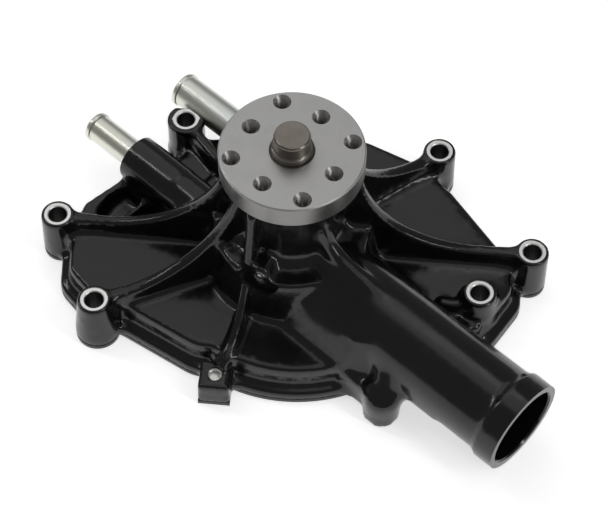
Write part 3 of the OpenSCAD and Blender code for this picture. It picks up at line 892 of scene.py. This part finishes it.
def build_tube(name, node, r, socket):
    """A hose tube with a rolled bead at its outer end."""
    end, inner_end = (corner.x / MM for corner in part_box(node))
    bead = r + 0.63
    bore = r - 1.4
    profile = [
        (bore, inner_end), (r, inner_end), (r, end + 4.6), (r + 0.02, end + 4.3), (r - 0.12, end + 4.1),
        (r - 0.12, end + 3.5), (r + 0.1, end + 3.25), (bead - 0.12, end + 3.0), (bead, end + 2.6),
        (bead, end + 1.2), (bead - 0.2, end + 0.5), (bead - 0.75, end + 0.05), (r - 0.6, end + 0.0),
        (bore + 0.35, end + 0.05), (bore, end + 0.5)]
    me = mesh_of(name, *along_x(profile, 96, 0, socket.y, socket.z))
    place(finish_mesh(name, me, [ZINC], 30), node, "pump_body")


def build_plug():
    profile = [(0, 33.5), (2.8, 33.5), (2.8, 38.9), (2.55, 39.3), (1.1, 39.3), (0.8, 38.9), (0, 38.7)]
    laid = along_x(profile, 48, 0, 0, PLUG_Z, closed=False)
    me = mesh_of("gallery_plug_visual", *turned_round(laid, PLUG_TURN))
    place(finish_mesh("gallery_plug_visual", me, [PLUG], 30), "gallery_plug", "pump_body")


build_housing()
build_hub()
build_shaft()
build_tube("heater_hose_tube", "heater_tube", 9.525, HEATER)
build_tube("bypass_hose_tube", "bypass_tube", 7.95, BYPASS)
build_plug()

NODE_MATERIALS = {
    "back_plate": PAINT, "plate_gasket": GASKET, "plate_screws": SCREW, "bearing_sleeve": BEARING,
    "front_balls": BALL, "front_cage": CAGE, "rear_rollers": BALL, "rear_cage": CAGE,
    "front_bearing_seal": RUBBER, "rear_bearing_seal": RUBBER, "slinger": RUBBER, "seal_cup": CUP,
    "seal_bellows": RUBBER, "seal_spring": SPRING, "seal_ring": CARBON, "seal_seat": CERAMIC,
    "seat_boot": RUBBER, "impeller": IRON, "housing": PAINT, "gallery_plug": PLUG, "heater_tube": ZINC,
    "bypass_tube": ZINC, "hub_flange": HUB, "bearing_shaft": SHAFT,
}
for name, m in NODE_MATERIALS.items():
    nodes[name].data.materials.clear()
    nodes[name].data.materials.append(m)


# ------------------------------------------------------------- light and camera

def add_camera():
    """The camera that took the photograph, placed from the middle of the hub's face, in metres."""
    azimuth, tilt, roll = 42, 33.69, 0.80
    from_hub = Vector((0.006744, -0.586612, 0.784740))
    cam = bpy.data.cameras.new("camera")
    cam.sensor_width = 36.0
    cam.lens = 114.6
    cam.clip_start = 0.05
    obj = bpy.data.objects.new("camera", cam)
    bpy.context.scene.collection.objects.link(obj)
    turn = Matrix.Rotation(math.radians(azimuth), 4, "Z")
    spot = Vector((0, 0, HUB_FACE)) + turn.to_3x3() @ from_hub
    obj.matrix_world = (Matrix.Translation(spot) @ turn @ Matrix.Rotation(math.radians(tilt), 4, "X")
                        @ Matrix.Rotation(math.radians(roll), 4, "Z"))
    bpy.context.scene.camera = obj


def softbox(name, azimuth, elevation, distance, size, power):
    """A rectangular light aimed at the origin, in degrees, metres and watts."""
    light = bpy.data.lights.new(name, "AREA")
    light.shape = "RECTANGLE"
    light.size, light.size_y = size
    light.energy = power
    obj = bpy.data.objects.new(name, light)
    a, e = math.radians(azimuth), math.radians(elevation)
    obj.location = (
        distance * math.cos(e) * math.cos(a), distance * math.cos(e) * math.sin(a), distance * math.sin(e))
    obj.rotation_euler = (-Vector(obj.location)).to_track_quat("-Z", "Y").to_euler()
    bpy.context.scene.collection.objects.link(obj)


def add_floor():
    """Pale paper with a faint glow, just below the mounting face so that the two never share a plane."""
    gap = 0.4 * MM
    bpy.ops.mesh.primitive_plane_add(size=6, location=(0, 0, -gap))
    floor = bpy.context.active_object
    floor.name = "floor"
    paper = dull("floor_paper", (0.96, 0.96, 0.96), 0.75, 60, 0.02, 0.0001, (0.95, 0.95, 0.95))
    shader(paper).inputs["Emission Color"].default_value = (1, 1, 1, 1)
    shader(paper).inputs["Emission Strength"].default_value = 0.62
    floor.data.materials.append(paper)


def add_light():
    world = bpy.data.worlds.new("studio")
    bpy.context.scene.world = world
    world.use_nodes = True
    background = world.node_tree.nodes["Background"]
    background.inputs["Color"].default_value = (1, 1, 1, 1)
    background.inputs["Strength"].default_value = 0.2
    softbox("top", azimuth=80, elevation=82, distance=1.7, size=(1.2, 1.2), power=2.4)
    softbox("back", azimuth=148, elevation=53, distance=1.7, size=(1.2, 1.3), power=2.7)
    softbox("side", azimuth=10, elevation=38, distance=1.5, size=(0.12, 1.2), power=4)
    softbox("back_left", azimuth=200, elevation=48, distance=1.5, size=(0.10, 0.9), power=2.2)
    view = bpy.context.scene.view_settings
    view.view_transform = "Standard"
    view.look = "None"
    view.exposure = 0.0


add_camera()
add_floor()
add_light()
